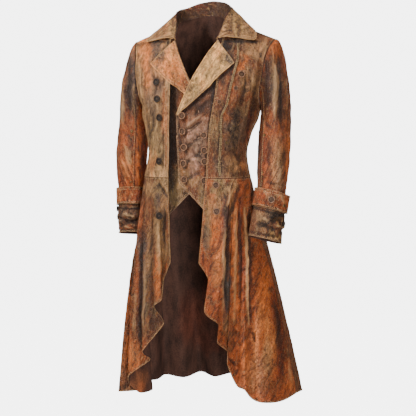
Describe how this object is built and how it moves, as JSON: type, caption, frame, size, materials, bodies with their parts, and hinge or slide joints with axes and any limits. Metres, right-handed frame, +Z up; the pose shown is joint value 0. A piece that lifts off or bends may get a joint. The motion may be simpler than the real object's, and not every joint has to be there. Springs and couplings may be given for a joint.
{
  "type": "tailcoat",
  "caption": "Worn leather tailcoat with a false waistcoat front, turned-down collar, wide lapels, deep cuffs, a waist seam and full skirts cut away in front.",
  "frame": {"origin": "between the two points where the shoulder seams meet the neck, where the wearer's shoulders hold the coat", "axes": "+Z up along the wearer, -Y out of the wearer's chest, +X towards the wearer's left arm"},
  "size_m": [0.5757, 0.4418, 1.212],
  "materials": {
    "coat_leather": "waxed leather, rust brown worn to tan with grey and black streaks, satin",
    "cuff_leather": "crumpled leather, rust and grey tan, satin",
    "collar_leather": "pale tan and peach leather, rubbed smooth, satin",
    "waistcoat_leather": "dark brown leather, creased, satin",
    "horn_buttons": "dark horn with a raised rim, worn"
  },
  "bodies": {
    "root": {"bodice_front_left": "coat_leather", "bodice_back_left": "coat_leather", "top_sleeve_left": "coat_leather", "under_sleeve_left": "coat_leather", "cuff_band_left": "cuff_leather", "cuff_left": "cuff_leather", "bodice_front_right": "coat_leather", "bodice_back_right": "coat_leather", "top_sleeve_right": "coat_leather", "under_sleeve_right": "coat_leather", "cuff_band_right": "cuff_leather", "cuff_right": "cuff_leather", "skirt_front_left": "coat_leather", "skirt_back_left": "coat_leather", "skirt_back_right": "coat_leather", "skirt_front_right": "coat_leather", "collar": "collar_leather", "waistcoat_over_front": "waistcoat_leather", "waistcoat_under_front": "waistcoat_leather", "lapel_left": "collar_leather", "lapel_right": "collar_leather", "front_welt_left": "coat_leather", "button_coat_right_1": "horn_buttons", "button_coat_right_2": "horn_buttons", "button_coat_right_3": "horn_buttons", "button_coat_right_4": "horn_buttons", "button_coat_left_1": "horn_buttons", "button_coat_left_2": "horn_buttons", "button_coat_left_3": "horn_buttons", "button_coat_left_4": "horn_buttons", "button_coat_left_5": "horn_buttons", "button_coat_left_6": "horn_buttons", "button_coat_right_5": "horn_buttons", "button_waistcoat_left_1": "horn_buttons", "button_waistcoat_left_2": "horn_buttons", "button_waistcoat_left_3": "horn_buttons", "button_waistcoat_left_4": "horn_buttons", "button_waistcoat_left_5": "horn_buttons", "button_waistcoat_right_1": "horn_buttons", "button_waistcoat_right_2": "horn_buttons", "button_waistcoat_right_3": "horn_buttons", "button_waistcoat_right_4": "horn_buttons", "button_cuff_left_1": "horn_buttons", "button_cuff_left_2": "horn_buttons", "button_cuff_left_3": "horn_buttons", "button_cuff_left_4": "horn_buttons", "button_cuff_right_1": "horn_buttons", "button_cuff_right_2": "horn_buttons", "button_sleeve_left_1": "horn_buttons", "button_sleeve_left_2": "horn_buttons", "button_sleeve_left_3": "horn_buttons", "button_sleeve_left_4": "horn_buttons", "button_sleeve_right_1": "horn_buttons", "button_sleeve_right_2": "horn_buttons"}
  },
  "joints": []
}
